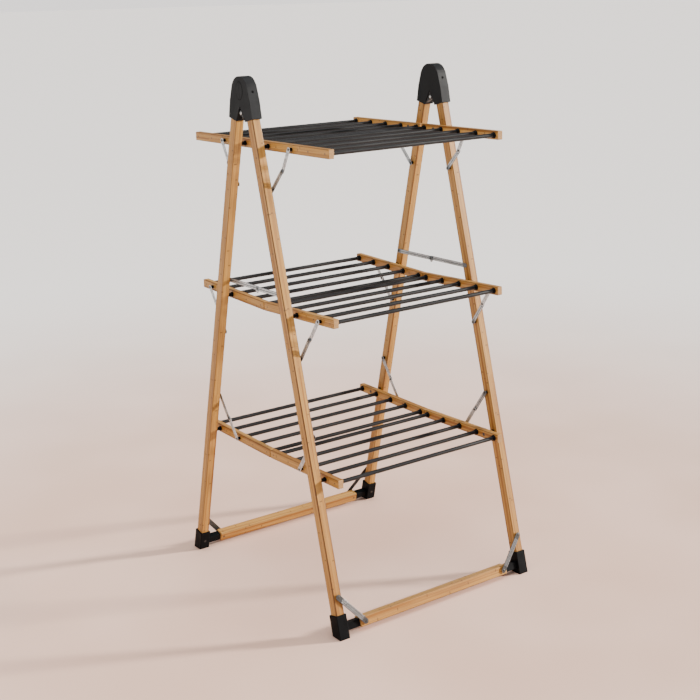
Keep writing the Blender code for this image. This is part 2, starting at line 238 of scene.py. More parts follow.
def bamboo(name, half_y, half_z, seed, edge_dark):
    """Laminated bamboo, grain along local X.

    half_y, half_z: half the section.  edge_dark: how dark the eased edges are, 0 to 1.
    """
    s = Shader(name, HONEY, 0.42, Coat_Weight=0.05, Coat_Roughness=0.3, Specular_IOR_Level=0.32)
    spot = s.coords(shift=(seed * 0.731, seed * 0.137, seed * 0.211))
    split = s.node("ShaderNodeSeparateXYZ")
    plain = s.node("ShaderNodeTexCoord")
    s.link(plain.outputs["Object"], split.inputs["Vector"])
    # strips about 7 mm wide, each with its own shade
    strip = s.coords(scale=(0.55, 145.0, 145.0), shift=(seed * 3.7, seed * 1.3, seed * 2.1))
    strips = s.node("ShaderNodeTexVoronoi", feature="F1", distance="CHEBYCHEV")
    strips.inputs["Scale"].default_value = 1.0
    strips.inputs["Randomness"].default_value = 0.4
    s.link(strip, strips.inputs["Vector"])
    shade = s.node("ShaderNodeSeparateColor")
    s.link(strips.outputs["Color"], shade.inputs["Color"])
    # long fibres and slow clouds
    fibre = s.noise(s.coords(scale=(7.0, 900.0, 900.0), shift=(seed, seed, 0)), 1.0, 4.0, 0.62)
    streak = s.noise(s.coords(scale=(2.2, 170.0, 170.0), shift=(seed * 2, 0, seed)), 1.0, 3.0, 0.55)
    cloud = s.noise(spot, 5.0, 2.0, 0.5)
    tone = s.mix(s.ramp(shade.outputs["Red"], 0.15, 0.85), HONEY_DEEP, HONEY_PALE)
    tone = s.mix(0.32, tone, HONEY)
    tone = s.mix(s.ramp(streak, 0.38, 0.64, 0.0, 0.60), tone, HONEY_PALE)
    tone = s.mix(s.ramp(fibre, 0.42, 0.66, 0.0, 0.62), tone, HONEY_DEEP)
    tone = s.mix(s.ramp(cloud, 0.35, 0.7, 0.0, 0.22), tone, HONEY_DEEP)
    # knuckles: short dark bands at uneven places along each strip
    count = s.math("ADD", s.math("MULTIPLY", split.outputs["X"], 4.1), shade.outputs["Green"])
    phase = s.math("ABSOLUTE", s.math("SUBTRACT", s.math("FRACT", count), 0.5))
    band = s.ramp(phase, 0.0035, 0.0105, 0.62, 0.0)
    tone = s.mix(band, tone, NODE_BROWN)
    # eased edges are drawn darker, a dark line along each long edge; edge_dark sets how dark
    far_y = s.ramp(s.math("ABSOLUTE", split.outputs["Y"]), half_y - 0.0031, half_y - 0.0013)
    far_z = s.ramp(s.math("ABSOLUTE", split.outputs["Z"]), half_z - 0.0031, half_z - 0.0013)
    edge = s.math("MULTIPLY", s.math("MULTIPLY", far_y, far_z), edge_dark)
    tone = s.mix(edge, tone, NODE_BROWN)
    s.base(tone)
    s.rough(s.ramp(fibre, 0.3, 0.75, 0.36, 0.52))
    height = s.math("ADD", s.math("MULTIPLY", fibre, 0.7), s.math("MULTIPLY", streak, 0.3))
    s.bump(height, 0.22, 0.0005)
    return s.mat


def end_grain(name, seed):
    """Cut end of a bamboo stick: pale, with dark pores and strip lines."""
    s = Shader(name, (0.36, 0.20, 0.070), 0.72)
    pores = s.node("ShaderNodeTexVoronoi", feature="F1")
    pores.inputs["Scale"].default_value = 1150.0
    s.link(s.coords(scale=(0.2, 1.0, 1.0), shift=(seed, seed, seed)), pores.inputs["Vector"])
    ring = s.noise(s.coords(scale=(1.0, 60.0, 420.0), shift=(0, seed, 0)), 1.0, 2.0)
    tone = s.mix(s.ramp(pores.outputs["Distance"], 0.18, 0.42, 0.65, 0.0),
                 (0.37, 0.205, 0.072), (0.15, 0.062, 0.017))
    tone = s.mix(s.ramp(ring, 0.42, 0.62, 0.0, 0.35), tone, (0.23, 0.110, 0.032))
    s.base(tone)
    s.bump(pores.outputs["Distance"], 0.30, 0.0004)
    return s.mat


def rod_paint():
    """Satin black powder coat on the rods."""
    s = Shader("rod_satin_black", (0.0062, 0.0061, 0.0066), 0.32, Specular_IOR_Level=0.25)
    peel = s.noise(s.coords(), 900.0, 2.0)
    wear = s.noise(s.coords(scale=(6.0, 60.0, 60.0)), 1.0, 3.0)
    s.base(s.mix(s.ramp(wear, 0.45, 0.75, 0.0, 0.5),
                 (0.0055, 0.0055, 0.0060), (0.0115, 0.0111, 0.0117)))
    s.rough(s.ramp(wear, 0.3, 0.8, 0.29, 0.42))
    s.bump(peel, 0.10, 0.0002)
    return s.mat


def moulded(name, colour, lift, rough_low, rough_high, shine):
    """Moulded plastic with a spark-eroded grain and faint handling marks.

    lift: the colour of the marks.  shine: the specular level.
    """
    s = Shader(name, colour, (rough_low + rough_high) / 2, Specular_IOR_Level=shine)
    grain = s.noise(s.coords(), 1500.0, 2.0, 0.6)
    flow = s.noise(s.coords(scale=(1.0, 1.0, 0.6)), 38.0, 3.0)
    s.base(s.mix(s.ramp(flow, 0.35, 0.75, 0.0, 0.6), colour, lift))
    s.rough(s.ramp(flow, 0.3, 0.75, rough_low, rough_high))
    s.bump(grain, 0.28, 0.00025)
    return s.mat


def zinc(name, colour, seed):
    """Zinc-plated pressed steel: faint rolling lines and cloudy passivation."""
    s = Shader(name, colour, 0.34, 0.70)
    lines = s.noise(s.coords(scale=(30.0, 1500.0, 1500.0), shift=(seed, 0, 0)), 1.0, 3.0, 0.6)
    cloud = s.noise(s.coords(shift=(seed, seed, 0)), 130.0, 3.0, 0.6)
    dull = tuple(c * 0.55 for c in colour)
    s.base(s.mix(s.ramp(cloud, 0.38, 0.68, 0.0, 0.75), colour, dull))
    s.rough(s.ramp(cloud, 0.3, 0.75, 0.26, 0.46))
    s.bump(lines, 0.16, 0.0002)
    return s.mat


def dark_steel():
    """Dark steel of the rivets, screws and pins."""
    s = Shader("dark_rivet", (0.060, 0.058, 0.056), 0.38, 0.85)
    spot = s.noise(s.coords(), 420.0, 3.0)
    s.base(s.mix(s.ramp(spot, 0.4, 0.7), (0.045, 0.044, 0.043), (0.12, 0.115, 0.11)))
    s.bump(spot, 0.15, 0.0002)
    return s.mat


ROD = rod_paint()
BLACK = moulded("black_plastic_grain", (0.0012, 0.0016, 0.0022), (0.0028, 0.0033, 0.0041),
                0.46, 0.60, 0.07)
CAP = moulded("cap_plastic_grain", (0.0058, 0.0064, 0.0074), (0.0105, 0.0113, 0.0126),
              0.44, 0.58, 0.13)
# the cap's plastic drawn much lighter for the hinge leaves: painted light in the shaded notch
PAINTED_LIGHT_LEAF = moulded("leaf_plastic_painted_light", (0.040, 0.042, 0.044), (0.055, 0.057, 0.060),
               0.40, 0.55, 0.3)
STEEL = zinc("zinc_plate", (0.56, 0.575, 0.585), 0.4)
# a darker copy of zinc_plate: painted shade on the leg links and spreaders
SHADED_STEEL = zinc("zinc_painted_shade", (0.21, 0.235, 0.255), 0.9)
# the brace's zinc drawn darker between the ribs: painted shade in the grooves
BRACE_SHADED_STEEL = zinc("brace_groove_painted_shade", (0.085, 0.088, 0.090), 2.3)
BRACE_RIB = zinc("brace_rib", (0.27, 0.275, 0.28), 2.9)
RIVET = zinc("rivet_steel", (0.55, 0.54, 0.52), 1.7)
DARK = dark_steel()
# near black: painted shadow in the caps' screw holes and in the seam round each cap panel
PAINTED_SHADOW_BLACK = moulded("painted_shadow_black", (0.002, 0.002, 0.002), (0.004, 0.004, 0.004), 0.7, 0.8, 0.05)


# ------------------------------------------------------------------ mesh helpers
def to_object(bm, name, materials):
    """Turn bm into a smooth-shaded object in the scene, and free it."""
    mesh = bpy.data.meshes.new(name)
    bmesh.ops.recalc_face_normals(bm, faces=bm.faces)
    bm.to_mesh(mesh)
    bm.free()
    obj = bpy.data.objects.new(name, mesh)
    bpy.context.scene.collection.objects.link(obj)
    for mat in materials:
        mesh.materials.append(mat)
    mesh.shade_smooth()
    return obj


def bevelled(obj, width, segments, angle=30.0):
    """Round the edges that turn by more than `angle` degrees."""
    mod = obj.modifiers.new("edges", "BEVEL")
    mod.width = width
    mod.segments = segments
    mod.limit_method = "ANGLE"
    mod.angle_limit = radians(angle)
    mod.harden_normals = True
    return obj


def prism_into(bm, points, a, b, make):
    """Add a prism to bm: `make(p, t)` turns an outline point and end into 3D."""
    low = [bm.verts.new(make(p, a)) for p in points]
    high = [bm.verts.new(make(p, b)) for p in points]
    bm.faces.new(low)
    bm.faces.new(high[::-1])
    for i in range(len(points)):
        j = (i + 1) % len(points)
        bm.faces.new((low[i], high[i], high[j], low[j]))


def along_x(p, t):
    """Place an outline point p in a plane across X; t is the X."""
    return (t, p[0], p[1])


def along_y(p, t):
    """The same across Y."""
    return (p[0], t, p[1])


def flat(p, t):
    """The same across Z."""
    return (p[0], p[1], t)


def disc(centre, radius, sides):
    """Outline of a circle."""
    cy, cz = centre
    step = 2.0 * pi / sides
    return [(cy + radius * cos(i * step), cz + radius * sin(i * step)) for i in range(sides)]


def capsule(a, b, radius, sides=12):
    """Outline of a strip from a to b with round ends."""
    lean = atan2(b[1] - a[1], b[0] - a[0])
    points = []
    for (cy, cz), start in ((b, lean - pi / 2), (a, lean + pi / 2)):
        for i in range(sides + 1):
            turn = start + pi * i / sides
            points.append((cy + radius * cos(turn), cz + radius * sin(turn)))
    return points


def revolve_into(bm, profile, centre, sides=24, make=along_x):
    """Turn (t, r) points about a line through `centre`; `make` is as for prism_into."""
    rings = []
    for t, r in profile:
        count = sides if r > ON_AXIS else 1
        outline = disc(centre, r, count) if count > 1 else [centre]
        rings.append([bm.verts.new(make(p, t)) for p in outline])
    bridge_rings(bm, rings, sides)


def bridge_rings(bm, rings, sides):
    """Join rings of `sides` points in turn; a ring of one point is a tip."""
    for low, high in zip(rings, rings[1:]):
        for i in range(sides):
            j = (i + 1) % sides
            if len(low) == 1:
                bm.faces.new((low[0], high[i], high[j]))
            elif len(high) == 1:
                bm.faces.new((low[i], high[0], low[j]))
            else:
                bm.faces.new((low[i], high[i], high[j], low[j]))


def rounded_head(x, out, r, rise):
    """Domed rivet head from x, standing `rise` proud towards `out` (+1 or -1)."""
    points = [(x, 0.0), (x, r)]
    for i in range(5):
        a = pi / 2 * i / 4
        points.append((x + out * (rise * 0.25 + rise * 0.75 * sin(a)), r * cos(a)))
    return points


# ------------------------------------------------------------------ geometry of the rack
def leg_s(z):
    """Distance from the hinge, along the leg, of the leg axis at height z."""
    return (HINGE_Z + LEG_OFFSET * sin(LEG_TILT) - z) / cos(LEG_TILT)


def leg_point(s, depth):
    """(y, z) of a point s along the leg from the hinge."""
    y = LEG_OFFSET * cos(LEG_TILT) + s * sin(LEG_TILT)
    z = HINGE_Z + LEG_OFFSET * sin(LEG_TILT) - s * cos(LEG_TILT)
    return depth * y, z


def turned(point, angle):
    """A (y, z) point turned about the origin."""
    y, z = point
    return y * cos(angle) - z * sin(angle), y * sin(angle) + z * cos(angle)


def knee(rail_pin, leg_pin, pivot):
    """Where the two links of a stay meet, on the side away from the pivot."""
    ay, az = rail_pin
    by, bz = leg_pin
    span = sqrt((by - ay) ** 2 + (bz - az) ** 2)
    along = (span ** 2 + RAIL_LINK ** 2 - LEG_LINK ** 2) / (2 * span)
    rise = sqrt(max(RAIL_LINK ** 2 - along ** 2, 0.0))
    ty, tz = (by - ay) / span, (bz - az) / span
    options = []
    for sign in (-1, 1):
        options.append((ay + along * ty - sign * rise * tz, az + along * tz + sign * rise * ty))
    return max(options, key=lambda p: (p[0] - pivot[0]) ** 2 + (p[1] - pivot[1]) ** 2)


def leaning(depth):
    """Matrix of the frame's own axes: Z up along the legs, origin on the hinge."""
    return Matrix.Translation((0, 0, HINGE_Z)) @ Matrix.Rotation(depth * LEG_TILT, 4, "X")


# ------------------------------------------------------------------ bamboo sticks
seed_count = 0


def stick(name, x0, x1, half_y, half_z, matrix, ease, plain_end=None, relief=None,
          edge_dark=0.42):
    """A bamboo stick along local X, with rounded long edges and cut ends.

    plain_end: the X of an end that meets its neighbour and keeps the side's colour.
    relief: a point and a normal; what lies beyond that plane is cut away.
    """
    global seed_count
    seed_count += 1
    seed = seed_count * 1.37
    bm = bmesh.new()
    cuts = 24
    outline = [(-half_y, -half_z), (half_y, -half_z), (half_y, half_z), (-half_y, half_z)]
    rings = []
    for i in range(cuts + 1):
        x = x0 + (x1 - x0) * i / cuts
        rings.append([bm.verts.new((x, y, z)) for y, z in outline])
    for low, high in zip(rings, rings[1:]):
        for i in range(4):
            j = (i + 1) % 4
            bm.faces.new((low[i], high[i], high[j], low[j]))
    for ring, x in ((rings[0], x0), (rings[-1], x1)):
        face = bm.faces.new(ring)
        face.material_index = 0 if x == plain_end else 1
    if relief:
        whole = bm.verts[:] + bm.edges[:] + bm.faces[:]
        cut = bmesh.ops.bisect_plane(bm, geom=whole, plane_co=relief[0], plane_no=relief[1],
                                     clear_outer=True)
        rim = [e for e in cut["geom_cut"] if isinstance(e, bmesh.types.BMEdge)]
        bmesh.ops.contextual_create(bm, geom=rim)
    mats = [bamboo(name + "_bamboo", half_y, half_z, seed, edge_dark),
            end_grain(name + "_end", seed)]
    obj = to_object(bm, name, mats)
    bevelled(obj, ease, 3)
    obj.matrix_world = matrix
    return obj


def build_legs():
    """Four legs, each with its three spacers."""
    for depth in (FRONT, BACK):
        for side in (LEFT, RIGHT):
            base = f"{DEPTH_NAME[depth]}_{SIDE_NAME[side]}_leg"
            centre = Vector((side * (LEG_IN_X + LEG_T / 2), depth * LEG_OFFSET, 0))
            # local X runs up the leg
            place = leaning(depth) @ Matrix.Translation(centre) @ Matrix.Rotation(-pi / 2, 4, "Y")
            edge_dark = 0.90 if (depth, side) == (FRONT, LEFT) else 0.45
            leg = stick(base + "_stick", -LEG_BOTTOM, LEG_TOP, LEG_W / 2, LEG_T / 2,
                        place, EASE, edge_dark=edge_dark)
            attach(leg, FRAME_BODY[depth])
            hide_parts(base)
            for shelf in SHELVES:
                build_spacer(base, shelf, depth, side)


def build_spacer(base, shelf, depth, side):
    """Turned black spacer between leg and rail, with a flange at each end."""
    name, z, _, _ = shelf
    centre = leg_point(leg_s(z), depth)
    low, high = RAIL_OUT_X + GAP, LEG_IN_X + INTO
    waist = BOSS_R - 0.0016
    profile = [(low, 0.0), (low, BOSS_R - 0.0006), (low + 0.0006, BOSS_R),
               (low + 0.0030, BOSS_R), (low + 0.0036, BOSS_R - 0.0005), (low + 0.0040, waist),
               (high - 0.0040, waist), (high - 0.0036, BOSS_R - 0.0005),
               (high - 0.0030, BOSS_R), (high, BOSS_R), (high, 0.0)]
    bm = bmesh.new()
    revolve_into(bm, [(side * x, r) for x, r in profile], centre, 28)
    obj = to_object(bm, f"{base}_{name}_spacer", [BLACK])
    obj.data.set_sharp_from_angle(angle=radians(35))
    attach(obj, FRAME_BODY[depth])


def build_bars():
    """Cross bars between the feet, front and back."""
    for depth in (FRONT, BACK):
        name = f"{DEPTH_NAME[depth]}_cross_bar"
        place = leaning(depth) @ Matrix.Translation((0, depth * LEG_OFFSET, -BAR_S))
        end = STUB_X - GAP
        bar = stick(name + "_stick", -end, end, BAR_T / 2, BAR_H / 2, place, EASE)
        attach(bar, FRAME_BODY[depth])
        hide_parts(name)


# ------------------------------------------------------------------ feet, braces, caps
def build_feet():
    for depth in (FRONT, BACK):
        for side in (LEFT, RIGHT):
            build_foot(depth, side)
            build_brace(depth, side)


def build_foot(depth, side):
    """Shoe under the leg, the stub that carries the bar's end, and two screws."""
    base = f"{DEPTH_NAME[depth]}_{SIDE_NAME[side]}_foot"
    wall = FOOT_WALL
    sides = []
    for across in (LEG_OFFSET - LEG_W / 2 - wall, LEG_OFFSET + LEG_W / 2 + wall):
        bottom = (HINGE_Z + across * sin(LEG_TILT)) / cos(LEG_TILT)
        sides.append(((depth * across, -bottom), (depth * across, -leg_s(FOOT_TOP))))
    shoe = [sides[0][0], sides[1][0], sides[1][1], sides[0][1]]
    body = bmesh.new()
    prism_into(body, shoe, side * (LEG_IN_X - wall), side * (LEG_OUT_X + wall), along_x)
    body.transform(leaning(depth))
    foot = bevelled(to_object(body, base + "_shoe", [BLACK]), 0.0016, 3)
    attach(foot, FRAME_BODY[depth])
    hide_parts(base)

    centre = depth * LEG_OFFSET
    bm = bmesh.new()
    box = [(centre - STUB_HALF, -BAR_S - STUB_HALF), (centre + STUB_HALF, -BAR_S - STUB_HALF),
           (centre + STUB_HALF, -BAR_S + STUB_HALF), (centre - STUB_HALF, -BAR_S + STUB_HALF)]
    into_shoe = 0.002
    prism_into(bm, box, side * STUB_X, side * (LEG_IN_X - wall + into_shoe), along_x)
    stub = bevelled(to_object(bm, base + "_stub", [BLACK]), 0.0012, 3)
    stub.matrix_world = leaning(depth)
    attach(stub, FRAME_BODY[depth])

    # screws on the faces that look at the other frame
    inner = LEG_OFFSET - LEG_W / 2 - wall
    screw(base + "_screw", FRAME_BODY[depth], leaning(depth),
          (side * (LEG_IN_X + LEG_T / 2), depth * inner, -BAR_S + 0.006), -depth, HEAD_R, DARK)
    screw(base + "_bar_screw", FRAME_BODY[depth], leaning(depth),
          (side * (STUB_X - 0.011), depth * (LEG_OFFSET - BAR_T / 2), -BAR_S), -depth,
          0.0030, DARK)


def screw(name, body, matrix, at, out, r, mat):
    """A cross-head screw whose head faces local Y * out, barely proud."""
    rise, recess, sides = 0.0003, 0.0012, 24
    x, y, z = at
    bm = bmesh.new()

    def ring(up, radii):
        return [bm.verts.new((x + radii[i] * cos(2 * pi * i / sides), y + out * up,
                              z + radii[i] * sin(2 * pi * i / sides))) for i in range(sides)]

    rings = [ring(up, [radius] * sides)
             for up, radius in ((0.0, r), (rise * 0.6, r * 0.82), (rise, r * 0.55))]
    bm.faces.new(rings[0])
    # cross recess: the radius alternates between the arms and the webs
    arm, web = r * 0.50, r * 0.16
    cross = []
    for i in range(sides):
        off_arm = abs(((2 * pi * i / sides + pi / 4) % (pi / 2)) - pi / 4)
        cross.append(min(arm if off_arm < 0.20 else web / max(sin(off_arm), 0.25), arm))
    rings.append(ring(rise, cross))
    rings.append(ring(rise - recess, [radius * 0.8 for radius in cross]))
    bridge_rings(bm, rings, sides)
    bm.faces.new(rings[-1][::-1])
    obj = to_object(bm, name, [mat])
    obj.data.set_sharp_from_angle(angle=radians(40))
    obj.matrix_world = matrix
    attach(obj, body)


def build_brace(depth, side):
    """Pressed strap with raised ribs, pads and screws at both ends; the strap between the ribs is
    painted darker, as shade in the grooves.
    """
    base = f"{DEPTH_NAME[depth]}_{SIDE_NAME[side]}_brace"
    top = (side * (LEG_OUT_X - LEG_T / 2), -BAR_S + BRACE_RISE)
    low = (side * BRACE_END_X, -BAR_S)
    face = depth * (LEG_OFFSET + LEG_W / 2 + FOOT_WALL + GAP)
    skin = depth * (LEG_OFFSET + LEG_W / 2 + GAP)
    bm = bmesh.new()
    sheet = BRACE_T * 0.35
    prism_into(bm, capsule(top, low, BRACE_W / 2), face, face + depth * sheet, along_y)
    strap = bevelled(to_object(bm, base + "_strap", [BRACE_SHADED_STEEL]), 0.00025, 2)
    strap.matrix_world = leaning(depth)
    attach(strap, FRAME_BODY[depth])
    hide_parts(base)
    ux, uz = low[0] - top[0], low[1] - top[1]
    length = sqrt(ux * ux + uz * uz)
    ux, uz = ux / length, uz / length
    bm = bmesh.new()
    for offset in (-BRACE_RIB_PITCH, 0.0, BRACE_RIB_PITCH):
        sx, sz = -uz * offset, ux * offset
        first = (top[0] + ux * BRACE_FLAT + sx, top[1] + uz * BRACE_FLAT + sz)
        last = (low[0] - ux * BRACE_FLAT + sx, low[1] - uz * BRACE_FLAT + sz)
        prism_into(bm, capsule(first, last, RIB_R, 6), face + depth * sheet * 0.6,
                   face + depth * BRACE_T * 0.92, along_y)
    ribs = bevelled(to_object(bm, base + "_ribs", [BRACE_RIB]), 0.0004, 2)
    ribs.matrix_world = leaning(depth)
    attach(ribs, FRAME_BODY[depth])
    bm = bmesh.new()
    for end in (top, low):
        prism_into(bm, disc(end, 0.0045, 20), skin, face + depth * 0.0002, along_y)
    pads = bevelled(to_object(bm, base + "_pads", [DARK]), 0.0004, 2)
    pads.matrix_world = leaning(depth)
    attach(pads, FRAME_BODY[depth])
    for tag, end in (("leg", top), ("bar", low)):
        screw(f"{base}_{tag}_screw", FRAME_BODY[depth], leaning(depth),
              (end[0], face + depth * sheet, end[1]), depth, 0.0038, DARK)


def cap_outline():
    """Half of a cap about the hinge, for the back: points (y, z)."""
    arch = [(CAP_SPLIT, 0.0920)]
    for i in range(1, 10):
        a = pi / 2 * i / 12
        arch.append((0.0365 * sin(a) ** 0.92, 0.0560 + 0.0360 * cos(a) ** 0.95))
    shoulder = [(0.0338, 0.0735), (0.0366, 0.0668), (0.0385, 0.0610)]
    sleeve = [(0.0480, 0.0310), (0.0561, -0.0128), (0.0215, -0.0215)]
    notch = [(CAP_SPLIT, 0.0170)]
    return arch + shoulder + sleeve + notch


def build_caps():
    """Two caps in halves, with their leaves, screws, panels and rivets."""
    for side in (LEFT, RIGHT):
        for depth in (FRONT, BACK):
            name = f"{SIDE_NAME[side]}_{DEPTH_NAME[depth]}_cap"
            bm = bmesh.new()
            outline = [(depth * y, z) for y, z in cap_outline()]
            prism_into(bm, outline, side * CAP_IN_X, side * CAP_OUT_X, along_x)
            cap = bevelled(to_object(bm, name + "_shell", [CAP]), 0.0014, 3, 24.0)
            soft_split(cap)
            cap.matrix_world = Matrix.Translation((0, 0, HINGE_Z))
            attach(cap, FRAME_BODY[depth])
            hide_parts(name)
            build_leaf(name, side, depth)
            # screw into the leg, in the outer face of the sleeve
            y, z = CAP_SCREW
            spot = (Matrix.Translation((side * (LEG_IN_X + LEG_T / 2), depth * y, HINGE_Z + z))
                    @ Matrix.Rotation(depth * CAP_SCREW_LEAN, 4, "X"))
            # near black head: painted shadow in the screw hole
            screw(name + "_screw", FRAME_BODY[depth], spot, (0, depth * 0.0002, 0), depth,
                  0.0034, PAINTED_SHADOW_BLACK)
            build_panel(name, side, depth)
        build_rivet(side)


def soft_split(cap):
    """Bevel by edge weight: full on the outline, fine along the middle split."""
    mesh = cap.data
    weights = mesh.attributes.new("bevel_weight_edge", "FLOAT", "EDGE")
    for edge in mesh.edges:
        a, b = (mesh.vertices[i].co for i in edge.vertices)
        split = max(abs(a.y), abs(b.y)) < 0.001
        along_side = abs(a.x - b.x) < 1e-6
        weights.data[edge.index].value = 0.12 if split else (1.0 if along_side else 0.35)
    cap.modifiers["edges"].limit_method = "WEIGHT"


def build_panel(name, side, depth):
    """Half of the oval panel on the cap's outer face, and a painted shadow line round it."""
    for tag, inset, proud, mat in (("_panel_line", 0.0, 0.0002, PAINTED_SHADOW_BLACK),
                                   ("_panel", 0.0012, 0.00045, CAP)):
        outline = []
        for i in range(17):
            a = -pi / 2 + pi * i / 16
            y = GAP + (PANEL_HALF[0] - inset) * cos(a)
            outline.append((depth * y, PANEL_Z + (PANEL_HALF[1] - inset) * sin(a)))
        bm = bmesh.new()
        prism_into(bm, outline, side * (CAP_OUT_X - 0.001), side * (CAP_OUT_X + proud), along_x)
        panel = bevelled(to_object(bm, name + tag, [mat]), 0.0001, 2)
        panel.matrix_world = Matrix.Translation((0, 0, HINGE_Z))
        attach(panel, FRAME_BODY[depth])


def build_leaf(name, side, depth):
    """Recessed hinge leaf that fills the notch on its own side of the middle."""
    middle = (CAP_IN_X + CAP_OUT_X) / 2
    if depth == FRONT:
        layer = (middle + GAP, CAP_OUT_X - LEAF_SUNK)
    else:
        layer = (CAP_IN_X + LEAF_SUNK, middle - GAP)
    web = [(depth * y, z) for y, z in
           ((0.0002, -0.0070), (0.0002, 0.0150), (0.0020, 0.0200), (0.0250, -0.0130),
            (0.0225, -0.0190))]
    bm = bmesh.new()
    prism_into(bm, web, side * layer[0], side * layer[1], along_x)
    prism_into(bm, disc((0, 0), 0.0078, 32), side * layer[0], side * layer[1], along_x)
    # lighter plastic here: painted light in the shaded notch
    leaf = bevelled(to_object(bm, name + "_leaf", [PAINTED_LIGHT_LEAF]), 0.0006, 2)
    leaf.matrix_world = Matrix.Translation((0, 0, HINGE_Z))
    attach(leaf, FRAME_BODY[depth])


def build_rivet(side):
    """Hinge pin of a cap: a shank with a domed head at each end."""
    name = f"{SIDE_NAME[side]}_cap_rivet"
    bm = bmesh.new()
    low, high = CAP_IN_X + LEAF_SUNK - GAP, CAP_OUT_X - LEAF_SUNK + GAP
    shank_r, head_r, rise = 0.0038, 0.0047, 0.0019
    shank = ((low, 0.0), (low, shank_r), (high, shank_r), (high, 0.0))
    revolve_into(bm, [(side * x, r) for x, r in shank], (0, 0))
    for x, out in ((high, 1), (low, -1)):
        head = rounded_head(x, out, head_r, rise)
        revolve_into(bm, [(side * x, r) for x, r in head], (0, 0), 28)
    obj = to_object(bm, name + "_pin", [RIVET])
    obj.data.set_sharp_from_angle(angle=radians(45))
    obj.matrix_world = Matrix.Translation((0, 0, HINGE_Z))
    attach(obj, "front_frame")
    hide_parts(name)


# ------------------------------------------------------------------ shelves
def build_shelves():
    for shelf in SHELVES:
        for depth in (FRONT, BACK):
            build_half(shelf, depth)
            build_stays(shelf, depth)


def build_half(shelf, depth):
    """Half a shelf on its own body: two rails, five rods and their fittings."""
    name, z, lean, _ = shelf
    body = f"{name}_{DEPTH_NAME[depth]}_shelf"
    py, pz = leg_point(leg_s(z), depth)
    pivot_y = abs(py)
    place = Matrix.Translation((0, py, pz)) @ Matrix.Rotation(depth * lean, 4, "X")
    outer = depth * (SHELF_END - pivot_y)
    inner = depth * ((TOP_GAP if name == "top" else SHELF_GAP) - pivot_y)
    rails = [build_rail(name, body, side, depth, inner, outer, place) for side in (LEFT, RIGHT)]
    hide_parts(body)
    spots = [depth * (ROD_FIRST + i * ROD_PITCH - pivot_y) for i in range(RODS)]
    build_rods(body, spots, place)
    for side in (LEFT, RIGHT):
        build_fittings(body, side, spots, place)


def build_rail(name, body, side, depth, inner, outer, place):
    """One bamboo rail, along the half's own Y from inner to outer."""
    relief = None
    if name == "top":
        # the lower inner corner is cut back, so that the two halves pass as they fold
        length, height = TOP_RELIEF
        relief = ((inner, 0.0, height - RAIL_H / 2), (-depth * height, 0.0, -length))
    middle = Matrix.Translation((side * (RAIL_IN_X + RAIL_T / 2), 0, 0))
    turn = Matrix.Rotation(pi / 2, 4, "Z")
    rail = stick(f"{body}_{SIDE_NAME[side]}_rail", *sorted((inner, outer)), RAIL_T / 2,
                 RAIL_H / 2, place @ middle @ turn, RAIL_EASE, inner, relief)
    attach(rail, body)
    return rail


def build_rods(body, spots, place):
    """Five black rods, each a piece of its own."""
    end, steps = RAIL_IN_X + ROD_LAND, 12
    stations = [-end] + [-end + 2 * end * k / steps for k in range(1, steps)] + [end]
    profile = [(-end, 0.0)] + [(x, ROD_R) for x in stations] + [(end, 0.0)]
    for i, y in enumerate(spots):
        bm = bmesh.new()
        revolve_into(bm, profile, (y, 0.0), 32)
        rod = to_object(bm, f"{body}_rod_{i + 1}", [ROD])
        rod.data.set_sharp_from_angle(angle=radians(45))
        rod.matrix_world = place
        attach(rod, body)


def build_fittings(body, side, spots, place):
    """Ferrules and pins of the rods' ends, and the head of the pivot screw."""
    lip = RAIL_IN_X
    ferrule = ((lip + 0.001, 0.0), (lip + 0.001, FERRULE_R), (lip - 0.0010, FERRULE_R),
               (lip - 0.0018, 0.0078), (lip - 0.0022, 0.0071), (lip - 0.0072, 0.0068),
               (lip - 0.0080, 0.0062), (lip - 0.0080, 0.0))
    skin = RAIL_OUT_X
    pin = ((skin - 0.002, 0.0), (skin - 0.002, PIN_R), (skin, PIN_R),
           (skin + 0.0002, PIN_R - 0.0004), (skin + 0.0001, 0.0))
    for tag, profile, sides, mat, slot in (("ferrules", ferrule, 28, BLACK, "black_plastic"),
                                           ("pins", pin, 16, DARK, "zinc_steel")):
        bm = bmesh.new()
        for y in spots:
            revolve_into(bm, [(side * x, r) for x, r in profile], (y, 0.0), sides)
        obj = to_object(bm, f"{body}_{SIDE_NAME[side]}_{tag}", [mat])
        obj.data.set_sharp_from_angle(angle=radians(38))
        obj.matrix_world = place
        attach(obj, body)
    bm = bmesh.new()
    dome = rounded_head(RAIL_IN_X + INTO, -1, 0.0048, 0.0022)
    revolve_into(bm, [(side * x, r) for x, r in dome], (0.0, 0.0))
    head = to_object(bm, f"{body}_{SIDE_NAME[side]}_pivot_head", [DARK])
    head.data.set_sharp_from_angle(angle=radians(50))
    head.matrix_world = place
    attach(head, body)


